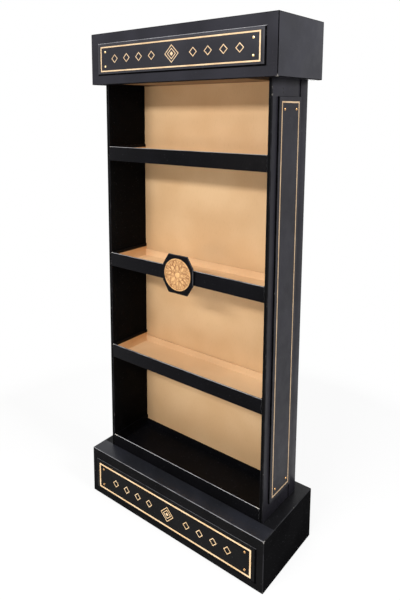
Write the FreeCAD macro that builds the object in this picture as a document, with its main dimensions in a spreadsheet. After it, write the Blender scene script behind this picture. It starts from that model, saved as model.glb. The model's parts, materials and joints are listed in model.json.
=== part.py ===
import FreeCAD, Part
import Sketcher
import os
from types import SimpleNamespace

# A free-standing cardboard display stand. X runs to the right, Y runs from the front to the back
# and Z is up. Each piece is drawn with the front edges of the body at y = 0 and the floor at z = 0,
# and is then moved along Y so that the origin is the middle of the whole stand's footprint.

# Driving dimensions in millimetres: name, value, meaning
dimensions = [
    ("body_width", 690, "outside of one side panel to the outside of the other"),
    ("body_depth", 220, "front edge of the side panels to the outside of the back panel"),
    ("wall_thick", 13, "rolled side panel, two skins and the hollow between them"),
    ("skin_thick", 4, "board of the side panels"),
    ("roll_radius", 3, "rounding where a side panel is rolled over at its front"),
    ("wrap_thick", 2.5, "board of the outer back panel"),
    ("wrap_radius", 2.2, "outside rounding of its folds"),
    ("wrap_flange", 48, "how far the back panel comes forward along each side"),
    ("liner_depth", 21.5, "kraft back, its face to its rear edge"),
    ("liner_thick", 4, "board of the kraft back"),
    ("board_thick", 5, "board of the plinth and the header"),
    ("fold_radius", 2.5, "outside rounding of the folds of plinth and header"),
    ("base_height", 183, "plinth, floor to top"),
    ("base_side_overhang", 43.5, "plinth past the body at each side"),
    ("base_front_overhang", 65, "plinth past the body at the front"),
    ("base_rear_overhang", 44, "plinth past the body at the back"),
    ("brace_spread", 200, "cross braces from the middle"),
    ("brace_setback", 110, "long brace behind the front of the body"),
    ("header_bottom", 1604, "underside of the header above the floor"),
    ("header_height", 179, "header, underside to top"),
    ("header_overhang", 35, "header past the body at the front and sides"),
    ("header_rear_overhang", 31, "header past the body at the back"),
    ("ceiling_thick", 4, "board of the ceiling panel"),
    ("ceiling_flange", 40, "height of its turned-up edges"),
    ("tray_thick", 4, "board of the trays"),
    ("lip_height", 52, "front and sides of a shelf tray"),
    ("lip_radius", 1.9, "rounding of the tray's edges"),
    ("tray_rear_height", 30, "rear edge of a tray"),
    ("upper_shelf", 1380, "top of the upper shelf's lip"),
    ("middle_shelf", 977, "top of the middle shelf's lip"),
    ("lower_shelf", 610, "top of the lower shelf's lip"),
    ("bottom_lip_height", 47, "front and sides of the bottom tray"),
    ("tab_length", 60, "tab of a shelf tray, along the side panel"),
    ("tab_front", 30, "first tab behind the front of the body"),
    ("tab_space", 20, "between the two tabs of one side"),
    ("tab_reach", 8, "tab past the tray's side"),
    ("foot_length", 40, "tab under a side panel, along the panel"),
    ("foot_front", 50, "first foot tab behind the front of the body"),
    ("foot_space", 40, "between the two foot tabs"),
    ("foot_drop", 20, "foot tab below the top of the plinth"),
    ("fit_gap", 0.3, "clearance of what slides into something"),
    ("header_plate_width", 686, "sign plate on the header"),
    ("header_plate_height", 111, "sign plate on the header"),
    ("header_plate_rise", 31.5, "lower edge of that plate above the header's underside"),
    ("base_plate_width", 727, "sign plate on the plinth"),
    ("base_plate_height", 124, "sign plate on the plinth"),
    ("base_plate_rise", 22.5, "lower edge of that plate above the floor"),
    ("plate_thick", 5, "board of the sign plates"),
    ("bevel_run", 10, "sloping margin of a sign plate, across the face"),
    ("bevel_drop", 3, "sloping margin of a sign plate, in depth"),
    ("line_inset_long", 16.5, "gold line from the ends of a sign plate"),
    ("line_inset_short", 12, "gold line from the long edges of a sign plate"),
    ("side_line_inset", 14, "gold line from the edges of a side plate"),
    ("line_width", 5, "width of the gold lines"),
    ("foil_thick", 0.4, "gold foil"),
    ("side_plate_thick", 6, "board of the plates on the sides"),
    ("side_plate_front", 33, "front edge of a side plate behind the front of the body"),
    ("side_plate_bottom", 236, "lower edge of a side plate above the floor"),
    ("side_plate_top", 1551, "upper edge of a side plate above the floor"),
    ("side_plate_bevel", 1.2, "small bevel round a side plate"),
    ("stud_inset_long", 24, "stud from the end of the gold line frame"),
    ("stud_inset_short", 19, "stud from the long side of the gold line frame"),
    ("stud_radius", 4.5, "head of a stud"),
    ("stud_dome", 3, "height of a stud's head"),
    ("shank_radius", 1, "pin of a stud"),
    ("shank_play", 0.05, "clearance round the pin of a stud"),
    ("shank_tip", 0.5, "pin past the inside of the wall"),
    ("medal_width", 131, "octagonal board of the medallion"),
    ("medal_height", 137, "octagonal board of the medallion"),
    ("medal_top_flat", 82, "upper and lower side of the octagon"),
    ("medal_side_flat", 60, "left and right side of the octagon"),
    ("medal_rise", 3, "middle of the medallion above the middle of the lip"),
    ("medal_thick", 4, "octagonal board of the medallion"),
    ("spacer_thick", 5, "block between the lip and the octagon"),
    ("spacer_width", 80, "that block"),
    ("spacer_margin", 4, "that block inside the lip's edges"),
    ("disc_radius", 56.5, "embossed disc"),
    ("disc_thick", 2, "ground of the embossed disc"),
    ("rim_width", 3.5, "raised rim of the disc"),
    ("relief", 1.4, "height of the relief on the disc"),
    ("bead_radius", 2.2, "beads inside the rim"),
    ("bead_ring", 47, "radius of the ring of beads"),
    ("petal_length", 28, "outer petals of the rosette"),
    ("petal_width", 11, "outer petals of the rosette"),
    ("petal_ring", 27, "middle of the outer petals from the centre"),
    ("heart_radius", 11, "domed middle of the rosette"),
    ("lozenge_radius", 15, "gold lozenge, middle to corner"),
    ("lozenge_line", 3.4, "line of a lozenge, along its diagonal"),
    ("lozenge_start", 86, "first lozenge from the middle of the plate"),
    ("lozenge_pitch", 57, "lozenge to lozenge"),
    ("middle_lozenge_radius", 29, "large lozenge in the middle of a plate"),
    ("lozenge_step", 11, "each inner lozenge of the middle one is smaller by this"),
]
bead_count = 28
petal_count = 8
lozenges_each_side = 4

close = 0.01
full_turn = 360

doc = FreeCAD.newDocument("DisplayStand")
sheet = doc.addObject("Spreadsheet::Sheet", "Sizes")
for row, (name, value, meaning) in enumerate(dimensions, 1):
    sheet.set("A%d" % row, meaning)
    sheet.set("B%d" % row, str(value))
    sheet.setAlias("B%d" % row, name)
doc.recompute()
s = SimpleNamespace(**{name: "Sizes." + name for name, value, meaning in dimensions})

# Places that several pieces share, from the driving dimensions
half_body = f"{s.body_width} / 2"
inner_wall = f"({half_body} - {s.wall_thick})"
liner_front = f"({s.body_depth} - {s.wrap_thick} - {s.liner_depth})"
wrap_inside = f"({s.body_depth} - {s.wrap_thick})"
seam = f"({s.body_depth} - {s.wrap_flange})"
header_top = f"({s.header_bottom} + {s.header_height})"
body_top = f"({header_top} - {s.board_thick})"
half_base = f"({half_body} + {s.base_side_overhang})"
base_rear = f"({s.body_depth} + {s.base_rear_overhang})"
base_roof = f"({s.base_height} - {s.board_thick})"
half_header = f"({half_body} + {s.header_overhang})"
header_rear = f"({s.body_depth} + {s.header_rear_overhang})"
half_wrap = f"({half_body} + {s.wrap_thick})"
base_face = f"({s.base_front_overhang} + {s.plate_thick})"
front_reach = f"({base_face} + {s.stud_dome})"
middle = f"({base_rear} - {front_reach}) / 2"
second_tab = f"({s.tab_front} + {s.tab_length} + {s.tab_space})"
second_foot = f"({s.foot_front} + {s.foot_length} + {s.foot_space})"
shelves = {"upper": s.upper_shelf, "middle": s.middle_shelf, "lower": s.lower_shelf}
tab_starts = (s.tab_front, second_tab)
foot_starts = (s.foot_front, second_foot)
nodes = []


def newBody(name):
    body = doc.addObject("PartDesign::Body", name)
    place(body, name)
    return body


# Names a finished piece and moves it so that the footprint's middle is the origin
def place(piece, name):
    piece.Label = name
    piece.setExpression("Placement.Base.y", f"-{middle}")
    nodes.append(piece)


def newSketch(body, name, plane, low):
    sketch = body.newObject("Sketcher::SketchObject", name)
    support = [feature for feature in body.Origin.OriginFeatures if feature.Role == plane][0]
    sketch.AttachmentSupport = [(support, "")]
    sketch.MapMode = "FlatFace"
    sketch.setExpression("AttachmentOffset.Base.z", f"-({low})" if plane == "XZ_Plane" else low)
    return sketch


def bindPoint(sketch, line, word, across, up):
    for kind, value in (("DistanceX", across), ("DistanceY", up)):
        if value is None:
            continue
        start = sketch.Geometry[line].StartPoint
        guess = start.x if kind == "DistanceX" else start.y
        number = sketch.addConstraint(Sketcher.Constraint(kind, -1, 1, line, 1, guess))
        sketch.renameConstraint(number, word + kind)
        sketch.setExpression("Constraints." + word + kind, value)


# Closed outline through corners; each corner is a pair of sizes, None where a level line gives it
def addOutline(sketch, word, corners, guesses):
    first = sketch.GeometryCount
    count = len(corners)
    points = [FreeCAD.Vector(across, up, 0) for across, up in guesses]
    for index in range(count):
        line = Part.LineSegment(points[index], points[(index + 1) % count])
        sketch.addGeometry(line, False)
    for index in range(count):
        following = first + (index + 1) % count
        sketch.addConstraint(Sketcher.Constraint("Coincident", first + index, 2, following, 1))
    for index, (across, up) in enumerate(corners):
        bindPoint(sketch, first + index, f"{word}{index}", across, up)


def addRectangle(sketch, word, left, low, right, high):
    first = sketch.GeometryCount
    corners = [(left, low), (None, None), (right, high), (None, None)]
    addOutline(sketch, word, corners, [(-1, -1), (1, -1), (1, 1), (-1, 1)])
    for side, kind in enumerate(("Horizontal", "Vertical", "Horizontal", "Vertical")):
        sketch.addConstraint(Sketcher.Constraint(kind, first + side))


def addCircle(sketch, word, across, up, radius):
    number = sketch.addGeometry(Part.Circle(FreeCAD.Vector(1, 1, 0), FreeCAD.Vector(0, 0, 1), 1), False)
    for kind, value in (("DistanceX", across), ("DistanceY", up)):
        if value == "0":
            axis = -2 if kind == "DistanceX" else -1
            sketch.addConstraint(Sketcher.Constraint("PointOnObject", number, 3, axis))
            continue
        made = sketch.addConstraint(Sketcher.Constraint(kind, -1, 1, number, 3, 1))
        sketch.renameConstraint(made, word + kind)
        sketch.setExpression("Constraints." + word + kind, value)
    made = sketch.addConstraint(Sketcher.Constraint("Radius", number, 1))
    sketch.renameConstraint(made, word + "Radius")
    sketch.setExpression("Constraints." + word + "Radius", radius)


# Adds ("Pad") or takes away ("Pocket") a sketch's outline, from its plane along the plane's axis
def extrude(body, kind, name, sketch, plane, depth):
    before = body.Shape.Volume if kind == "Pocket" else 0
    feature = body.newObject("PartDesign::" + kind, name)
    feature.Profile = sketch
    feature.setExpression("Length", depth)
    feature.Reversed = (kind == "Pad") == (plane == "XZ_Plane")
    doc.recompute()
    if kind == "Pocket" and feature.Shape.Volume > before - close:
        raise ValueError("nothing was cut away by " + name)
    return feature


# Rectangular prisms; low is the level of the plane and each rectangle is left, low, right, high
def block(body, kind, name, plane, low, depth, rectangles):
    sketch = newSketch(body, name + "_sketch", plane, low)
    for index, rectangle in enumerate(rectangles):
        addRectangle(sketch, "side%d" % index, *rectangle)
    return extrude(body, kind, name, sketch, plane, depth)


def holes(body, name, plane, low, depth, centres, radius):
    sketch = newSketch(body, name + "_sketch", plane, low)
    for index, (across, up) in enumerate(centres):
        addCircle(sketch, "hole%d" % index, across, up, radius)
    return extrude(body, "Pocket", name, sketch, plane, depth)


# The straight edges of a shape that run along an axis and whose middle passes a test
def pickEdges(shape, axis, test):
    found = []
    for number, edge in enumerate(shape.Edges, 1):
        if len(edge.Vertexes) != 2:
            continue
        run = edge.Vertexes[1].Point - edge.Vertexes[0].Point
        if run.Length < close or abs(run.normalize().dot(axis)) < 1 - close:
            continue
        if test(edge.CenterOfMass):
            found.append("Edge%d" % number)
    return found


alongX = FreeCAD.Vector(1, 0, 0)
alongY = FreeCAD.Vector(0, 1, 0)
alongZ = FreeCAD.Vector(0, 0, 1)


def finishEdges(body, kind, name, names, sizes):
    base = body.Tip
    feature = body.newObject("PartDesign::" + kind, name)
    feature.Base = (base, names)
    if kind == "Chamfer" and len(sizes) == 2:
        feature.ChamferType = "Two distances"
    for word, size in sizes.items():
        feature.setExpression(word, size)
    doc.recompute()
    return feature


# Values that lie at a body's outer sides, as a test on a point
def atSide(shape, side):
    box = shape.BoundBox
    limits = {"left": ("x", box.XMin), "right": ("x", box.XMax), "front": ("y", box.YMin),
              "rear": ("y", box.YMax), "bottom": ("z", box.ZMin), "top": ("z", box.ZMax)}
    word, value = limits[side]
    return lambda point: abs(getattr(point, word) - value) < close


def edgesAt(shape, axis, *corners):
    tests = [[atSide(shape, side) for side in corner] for corner in corners]
    return pickEdges(shape, axis, lambda point: any(all(test(point) for test in group) for group in tests))


# On the left, an interval is the mirror image of the one on the right
def mirrored(side, near, far):
    if side > 0:
        return near, far
    return f"-({far})", f"-({near})"


# Sign plates and side plates, with their gold line, studs and the holes for them
def frameCorners(left, low, right, high, inset_across, inset_up):
    across = (f"{left} + {inset_across}", f"{right} - {inset_across}")
    up = (f"{low} + {inset_up}", f"{high} - {inset_up}")
    return [(x, z) for x in across for z in up]


def makeGoldLine(name, plane, low, left, bottom, right, top):
    body = newBody(name)
    sketch = newSketch(body, name + "_sketch", plane, low)
    addRectangle(sketch, "outer", left, bottom, right, top)
    width = s.line_width
    inner = (f"{left} + {width}", f"{bottom} + {width}", f"{right} - {width}", f"{top} - {width}")
    addRectangle(sketch, "inner", *inner)
    extrude(body, "Pad", name + "_foil", sketch, plane, s.foil_thick)


# One domed nail with its head on z = 0, turned and moved to its place
def makeStud(name, rotation, across, out, up, pin_length):
    head = doc.addObject("Part::Sphere", name + "_head")
    ball = f"({s.stud_radius} * {s.stud_radius} + {s.stud_dome} * {s.stud_dome}) / (2 * {s.stud_dome})"
    head.setExpression("Radius", ball)
    head.setExpression("Angle1", f"asin(({ball} - {s.stud_dome}) / ({ball}))")
    head.setExpression("Placement.Base.z", f"{s.stud_dome} - {ball}")
    pin = doc.addObject("Part::Cylinder", name + "_pin")
    pin.setExpression("Radius", s.shank_radius)
    pin.setExpression("Height", pin_length)
    pin.setExpression("Placement.Base.z", f"-({pin_length})")
    stud = doc.addObject("Part::Fuse", name)
    stud.Base = head
    stud.Tool = pin
    stud.Placement.Rotation = rotation
    for axis, value in (("x", across), ("y", out), ("z", up)):
        stud.setExpression("Placement.Base." + axis, value)
    return stud


def makeStuds(name, rotation, places, pin_length):
    studs = []
    for index, (across, out, up) in enumerate(places):
        studs.append(makeStud(f"{name}_{index}", rotation, across, out, up, pin_length))
    group = doc.addObject("Part::Compound", name)
    group.Links = studs
    place(group, name)


# A square frame on its corner, facing forward; solid where inner is None
def makeLozenge(name, across, face, up, outer, inner):
    sizes = [outer] if inner is None else [outer, inner]
    prisms = []
    for word, size in zip(("outer", "inner"), sizes):
        prism = doc.addObject("Part::Prism", f"{name}_{word}")
        prism.Polygon = 4
        prism.setExpression("Circumradius", size)
        prism.setExpression("Height", s.foil_thick)
        prisms.append(prism)
    lozenge = prisms[0]
    if inner is not None:
        lozenge = doc.addObject("Part::Cut", name)
        lozenge.Base, lozenge.Tool = prisms
    lozenge.Placement.Rotation = FreeCAD.Rotation(alongX, 90)
    for axis, value in (("x", across), ("y", f"-({face})"), ("z", up)):
        lozenge.setExpression("Placement.Base." + axis, value)
    return lozenge


def makeOrnament(name, face, up):
    pieces = []
    for side in (-1, 1):
        for index in range(lozenges_each_side):
            across = f"{side} * ({s.lozenge_start} + {index} * {s.lozenge_pitch})"
            inner = f"{s.lozenge_radius} - {s.lozenge_line}"
            word = f"{name}_{'left' if side < 0 else 'right'}{index}"
            pieces.append(makeLozenge(word, across, face, up, s.lozenge_radius, inner))
    for step in range(2):
        outer = f"({s.middle_lozenge_radius} - {step} * {s.lozenge_step})"
        inner = f"{outer} - {s.lozenge_line}"
        pieces.append(makeLozenge(f"{name}_middle{step}", "0", face, up, outer, inner))
    heart = f"{s.middle_lozenge_radius} - 2 * {s.lozenge_step}"
    pieces.append(makeLozenge(f"{name}_heart", "0", face, up, heart, None))
    group = doc.addObject("Part::Compound", name)
    group.Links = pieces
    place(group, name)


# A sign plate on a front wall whose outside is at y = -overhang; gives the places of its studs
def makeSign(word, overhang, width, height, low):
    half = f"({width} / 2)"
    high = f"({low} + {height})"
    face = f"({overhang} + {s.plate_thick})"
    body = newBody(word + "_sign_plate")
    block(body, "Pad", word + "_plate_board", "XZ_Plane", f"-({face})", s.plate_thick,
          [(f"-{half}", low, half, high)])
    shape = body.Shape
    names = edgesAt(shape, alongX, ("front", "bottom"), ("front", "top"))
    names += edgesAt(shape, alongZ, ("front", "left"), ("front", "right"))
    finishEdges(body, "Chamfer", word + "_plate_bevel", names,
                {"Size": s.bevel_drop, "Size2": s.bevel_run})
    left = f"-{half} + {s.line_inset_long}"
    right = f"{half} - {s.line_inset_long}"
    bottom = f"{low} + {s.line_inset_short}"
    top = f"{high} - {s.line_inset_short}"
    studs = frameCorners(left, bottom, right, top, s.stud_inset_long, s.stud_inset_short)
    hole = f"{s.shank_radius} + {s.shank_play}"
    holes(body, word + "_plate_holes", "XZ_Plane", f"-({face})", s.plate_thick, studs, hole)
    front = f"-({face}) - {s.foil_thick}"
    makeGoldLine(word + "_gold_frame", "XZ_Plane", front, left, bottom, right, top)
    makeOrnament(word + "_gold_ornament", face, f"({low} + {high}) / 2")
    pin = f"{s.plate_thick} + {s.board_thick} + {s.shank_tip}"
    places = [(x, f"-({face})", z) for x, z in studs]
    makeStuds(word + "_studs", FreeCAD.Rotation(alongX, 90), places, pin)
    return studs, hole


# Header and plinth are folded boxes; the plinth is open below
def makeBase():
    studs, hole = makeSign("base", s.base_front_overhang, s.base_plate_width, s.base_plate_height,
                           s.base_plate_rise)
    body = newBody("base_box")
    front = f"-{s.base_front_overhang}"
    board = s.board_thick
    block(body, "Pad", "base_outside", "XY_Plane", "0", s.base_height,
          [(f"-{half_base}", front, half_base, base_rear)])
    block(body, "Pocket", "base_inside", "XY_Plane", "0", base_roof,
          [(f"-{half_base} + {board}", f"{front} + {board}", f"{half_base} - {board}",
            f"{base_rear} - {board}")])
    shape = body.Shape
    names = edgesAt(shape, alongZ, ("front", "left"), ("front", "right"), ("rear", "left"), ("rear", "right"))
    names += edgesAt(shape, alongX, ("front", "top"), ("rear", "top"))
    names += edgesAt(shape, alongY, ("left", "top"), ("right", "top"))
    finishEdges(body, "Fillet", "base_folds", names, {"Radius": s.fold_radius})
    slots = []
    for side in (-1, 1):
        near, far = mirrored(side, f"{half_body} - {s.skin_thick} - {s.fit_gap}",
                             f"{half_body} + {s.fit_gap}")
        for start in foot_starts:
            end = f"{start} + {s.foot_length} + {s.fit_gap}"
            slots.append((near, f"{start} - {s.fit_gap}", far, end))
    block(body, "Pocket", "base_slots", "XY_Plane", base_roof, board, slots)
    holes(body, "base_stud_holes", "XZ_Plane", front, board, studs, hole)
    makeBraces()


# Half-lapped boards: the long one is slotted from above, the cross ones from below
def makeBraces():
    board = s.board_thick
    gap = s.fit_gap
    half = f"({half_base} - {board} - {gap})"
    lap = f"{base_roof} / 2"
    long_brace = newBody("base_brace_long")
    row = f"({s.brace_setback} - {board} / 2)"
    block(long_brace, "Pad", "long_board", "XY_Plane", "0", base_roof,
          [(f"-{half}", row, half, f"{row} + {board}")])
    cuts = []
    for side in (-1, 1):
        near, far = mirrored(side, f"{s.brace_spread} - {board} / 2 - {gap}",
                             f"{s.brace_spread} + {board} / 2 + {gap}")
        cuts.append((near, f"{row} - {board}", far, f"{row} + 2 * {board}"))
    block(long_brace, "Pocket", "long_slots", "XY_Plane", lap, base_roof, cuts)
    for side, word in ((-1, "left"), (1, "right")):
        cross = newBody("base_brace_cross_" + word)
        near, far = mirrored(side, f"{s.brace_spread} - {board} / 2", f"{s.brace_spread} + {board} / 2")
        start = f"-{s.base_front_overhang} + {board} + {gap}"
        block(cross, "Pad", "cross_board_" + word, "XY_Plane", "0", base_roof,
              [(near, start, far, f"{base_rear} - {board} - {gap}")])
        block(cross, "Pocket", "cross_slot_" + word, "XY_Plane", "0", lap,
              [(f"{near} - {board}", f"{row} - {gap}", f"{far} + {board}", f"{row} + {board} + {gap}")])


def makeHeader():
    low = f"({s.header_bottom} + {s.header_plate_rise})"
    studs, hole = makeSign("header", s.header_overhang, s.header_plate_width, s.header_plate_height, low)
    body = newBody("header_box")
    front = f"-{s.header_overhang}"
    board = s.board_thick
    inside = (f"-{half_header} + {board}", f"{front} + {board}", f"{half_header} - {board}",
              f"{header_rear} - {board}")
    block(body, "Pad", "header_outside", "XY_Plane", s.header_bottom, s.header_height,
          [(f"-{half_header}", front, half_header, header_rear)])
    block(body, "Pocket", "header_inside", "XY_Plane", f"{s.header_bottom} + {board}",
          f"{s.header_height} - 2 * {board}", [inside])
    # The underside is open from the front wall to the body, and fits round the body behind that
    block(body, "Pocket", "header_front_gap", "XY_Plane", s.header_bottom, board,
          [(inside[0], inside[1], inside[2], f"-{s.fit_gap}")])
    block(body, "Pocket", "header_body_gap", "XY_Plane", s.header_bottom, board,
          [(f"-{half_wrap} - {s.fit_gap}", f"{front} + {board}", f"{half_wrap} + {s.fit_gap}",
            f"{s.body_depth} + {s.fit_gap}")])
    shape = body.Shape
    names = edgesAt(shape, alongZ, ("front", "left"), ("front", "right"), ("rear", "left"), ("rear", "right"))
    names += edgesAt(shape, alongX, ("front", "top"), ("rear", "top"), ("rear", "bottom"))
    names += edgesAt(shape, alongY, ("left", "top"), ("right", "top"))
    names += edgesAt(shape, alongY, ("left", "bottom"), ("right", "bottom"))
    finishEdges(body, "Fillet", "header_folds", names, {"Radius": s.fold_radius})
    holes(body, "header_stud_holes", "XZ_Plane", front, board, studs, hole)


# Kraft sheet under the header: a wide strip in front of the body, then a panel between its walls
def makeCeiling():
    body = newBody("ceiling_panel")
    gap = s.fit_gap
    thick = s.ceiling_thick
    wide = f"({half_header} - {s.board_thick} - {gap})"
    narrow = f"({inner_wall} - {gap})"
    front = f"(-{s.header_overhang} + {s.board_thick} + {gap})"
    rear = f"({liner_front} - {gap})"
    block(body, "Pad", "ceiling_strip", "XY_Plane", s.header_bottom, thick,
          [(f"-{wide}", front, wide, f"-2 * {gap}")])
    block(body, "Pad", "ceiling_sheet", "XY_Plane", s.header_bottom, thick,
          [(f"-{narrow}", front, narrow, rear)])
    flanges = [(f"-{wide}", front, wide, f"{front} + {thick}")]
    block(body, "Pad", "ceiling_front_flange", "XY_Plane", s.header_bottom, s.ceiling_flange, flanges)
    rims = [(f"-{narrow}", "0", f"-{narrow} + {thick}", rear), (f"{narrow} - {thick}", "0", narrow, rear)]
    block(body, "Pad", "ceiling_side_flanges", "XY_Plane", s.header_bottom, s.ceiling_flange, rims)
    block(body, "Pad", "ceiling_rear_flange", "XY_Plane", s.header_bottom, s.ceiling_flange,
          [(f"-{narrow}", f"{rear} - {thick}", narrow, rear)])


# A side panel is one sheet rolled into a flat tube, with tabs below and slots for the trays inside
def makeSidePanel(side, word, stud_places):
    body = newBody("side_panel_" + word)
    skin = s.skin_thick
    near, far = mirrored(side, inner_wall, half_body)
    height = f"{body_top} - {s.base_height}"
    block(body, "Pad", "roll_" + word, "XY_Plane", s.base_height, height, [(near, "0", far, wrap_inside)])
    shape = body.Shape
    names = edgesAt(shape, alongZ, ("front", "left"), ("front", "right"))
    finishEdges(body, "Fillet", "roll_round_" + word, names, {"Radius": s.roll_radius})
    block(body, "Pocket", "hollow_" + word, "XY_Plane", s.base_height, height,
          [(f"{near} + {skin}", skin, f"{far} - {skin}", f"{wrap_inside} - {skin}")])
    outer_near, outer_far = mirrored(side, f"{half_body} - {skin}", half_body)
    feet = [(outer_near, start, outer_far, f"{start} + {s.foot_length}") for start in foot_starts]
    block(body, "Pad", "feet_" + word, "XY_Plane", f"{s.base_height} - {s.foot_drop}", s.foot_drop, feet)
    slots = []
    for lip_top in shelves.values():
        low = f"({lip_top} - {s.lip_height})"
        for start in tab_starts:
            end = f"{start} + {s.tab_length} + {s.fit_gap}"
            slots.append((f"{start} - {s.fit_gap}", low, end, f"{low} + {s.tray_thick} + {s.fit_gap}"))
    inner_near, inner_far = mirrored(side, inner_wall, f"{inner_wall} + {skin}")
    block(body, "Pocket", "tray_slots_" + word, "YZ_Plane", inner_near, skin, slots)
    hole = f"{s.shank_radius} + {s.shank_play}"
    holes(body, "stud_holes_" + word, "YZ_Plane", outer_near, skin, stud_places, hole)


def makeSidePlate(side, word):
    body = newBody("side_plate_" + word)
    thick = s.side_plate_thick
    near, far = mirrored(side, half_body, f"{half_body} + {thick}")
    front = s.side_plate_front
    rear = f"({seam} - {s.fit_gap})"
    bottom = s.side_plate_bottom
    top = s.side_plate_top
    block(body, "Pad", "side_board_" + word, "YZ_Plane", near, thick, [(front, bottom, rear, top)])
    shape = body.Shape
    outside = "right" if side > 0 else "left"
    names = edgesAt(shape, alongZ, (outside, "front"), (outside, "rear"))
    names += edgesAt(shape, alongY, (outside, "top"), (outside, "bottom"))
    finishEdges(body, "Chamfer", "side_bevel_" + word, names, {"Size": s.side_plate_bevel})
    inset = s.side_line_inset
    line = (f"{front} + {inset}", f"{bottom} + {inset}", f"{rear} - {inset}", f"{top} - {inset}")
    studs = frameCorners(*line, s.stud_inset_short, s.stud_inset_long)
    hole = f"{s.shank_radius} + {s.shank_play}"
    holes(body, "side_board_holes_" + word, "YZ_Plane", near, thick, studs, hole)
    face = f"({half_body} + {thick})"
    foil_near, foil_far = mirrored(side, face, f"{face} + {s.foil_thick}")
    makeGoldLine("side_gold_frame_" + word, "YZ_Plane", foil_near, *line)
    places = [(f"{side} * {face}", y, z) for y, z in studs]
    pin = f"{thick} + {s.skin_thick} + {s.shank_tip}"
    makeStuds("side_studs_" + word, FreeCAD.Rotation(alongY, side * 90), places, pin)
    makeSidePanel(side, word, studs)


def makeBack():
    wrap = newBody("back_panel")
    height = f"{body_top} - {s.base_height}"
    block(wrap, "Pad", "wrap_outside", "XY_Plane", s.base_height, height,
          [(f"-{half_wrap}", seam, half_wrap, s.body_depth)])
    names = edgesAt(wrap.Shape, alongZ, ("rear", "left"), ("rear", "right"))
    finishEdges(wrap, "Fillet", "wrap_folds", names, {"Radius": s.wrap_radius})
    block(wrap, "Pocket", "wrap_inside", "XY_Plane", s.base_height, height,
          [(f"-{half_body}", f"{seam} - {s.wrap_flange}", half_body, wrap_inside)])
    liner = newBody("back_liner")
    half = f"({inner_wall} - {s.fit_gap})"
    thick = s.liner_thick
    block(liner, "Pad", "liner_outside", "XY_Plane", s.base_height, height,
          [(f"-{half}", liner_front, half, wrap_inside)])
    block(liner, "Pocket", "liner_hollow", "XZ_Plane", f"{liner_front} + {thick}", s.liner_depth,
          [(f"-{half} + {thick}", f"{s.base_height} + {thick}", f"{half} - {thick}",
            f"{body_top} - {thick}")])


# A folded tray, with its lip flush with the front edges of the side panels
def makeTray(name, low, lip, tabs):
    body = newBody(name)
    thick = s.tray_thick
    half = f"({inner_wall} - {s.fit_gap})"
    rear = f"({liner_front} - {s.fit_gap})"
    block(body, "Pad", name + "_outside", "XY_Plane", low, lip, [(f"-{half}", "0", half, rear)])
    block(body, "Pocket", name + "_inside", "XY_Plane", f"{low} + {thick}", lip,
          [(f"-{half} + {thick}", thick, f"{half} - {thick}", f"{rear} - {thick}")])
    block(body, "Pocket", name + "_rear_cut", "XY_Plane", f"{low} + {s.tray_rear_height}", lip,
          [(f"-{half} + {thick}", f"{rear} - 2 * {thick}", f"{half} - {thick}", f"{rear} + {thick}")])
    if tabs:
        reach = f"({half} + {s.tab_reach})"
        pads = [(f"-{reach}", start, reach, f"{start} + {s.tab_length}") for start in tab_starts]
        block(body, "Pad", name + "_tabs", "XY_Plane", low, thick, pads)
    shape = body.Shape
    names = edgesAt(shape, alongX, ("front", "bottom"), ("front", "top"))
    finishEdges(body, "Fillet", name + "_folds", names, {"Radius": s.lip_radius})


# Octagonal board on a block on the middle shelf's lip, with an embossed disc
def makeMedallion():
    centre = f"({s.middle_shelf} - {s.lip_height} / 2 + {s.medal_rise})"
    spacer = newBody("medallion_spacer")
    half = f"({s.spacer_width} / 2)"
    low = f"{s.middle_shelf} - {s.lip_height} + {s.spacer_margin}"
    block(spacer, "Pad", "spacer_block", "XZ_Plane", f"-{s.spacer_thick}", s.spacer_thick,
          [(f"-{half}", low, half, f"{s.middle_shelf} - {s.spacer_margin}")])
    plate = newBody("medallion_plate")
    face = f"({s.spacer_thick} + {s.medal_thick})"
    sketch = newSketch(plate, "octagon_sketch", "XZ_Plane", f"-{face}")
    top = f"({s.medal_top_flat} / 2)"
    flat = f"({s.medal_side_flat} / 2)"
    wide = f"({s.medal_width} / 2)"
    tall = f"({s.medal_height} / 2)"
    ends = [(top, tall, 1, 2), (wide, flat, 2, 1)]
    ring = [(1, 1, 0), (1, 1, 1), (1, -1, 1), (1, -1, 0), (-1, -1, 0), (-1, -1, 1), (-1, 1, 1), (-1, 1, 0)]
    corners = []
    guesses = []
    for right, up, which in ring:
        across, height, x, z = ends[which]
        corners.append((f"{right} * {across}", f"{centre} + {up} * {height}"))
        guesses.append((right * x, up * z))
    addOutline(sketch, "corner", corners, guesses)
    extrude(plate, "Pad", "octagon", sketch, "XZ_Plane", s.medal_thick)
    makeDisc(centre, face)


# The disc is drawn round its own centre, with its back on y = 0
def makeDisc(centre, face):
    disc = newBody("medallion_disc")
    disc.setExpression("Placement.Base.y", f"-{middle} - {face}")
    disc.setExpression("Placement.Base.z", centre)
    front = f"-{s.disc_thick}"
    ground = newSketch(disc, "disc_sketch", "XZ_Plane", front)
    addCircle(ground, "edge", "0", "0", s.disc_radius)
    extrude(disc, "Pad", "disc_ground", ground, "XZ_Plane", s.disc_thick)
    rim = newSketch(disc, "rim_sketch", "XZ_Plane", f"{front} - {s.relief}")
    addCircle(rim, "outer", "0", "0", s.disc_radius)
    addCircle(rim, "inner", "0", "0", f"{s.disc_radius} - {s.rim_width}")
    extrude(disc, "Pad", "disc_rim", rim, "XZ_Plane", s.relief)
    addRelief(disc, "bead", ground, bead_count, s.bead_ring, s.bead_radius, s.bead_radius)
    addRelief(disc, "petal", ground, petal_count, s.petal_ring, f"{s.petal_width} / 2",
              f"{s.petal_length} / 2")
    addBoss(disc, "heart", s.heart_radius, s.heart_radius, "0")
    doc.recompute()


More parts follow.
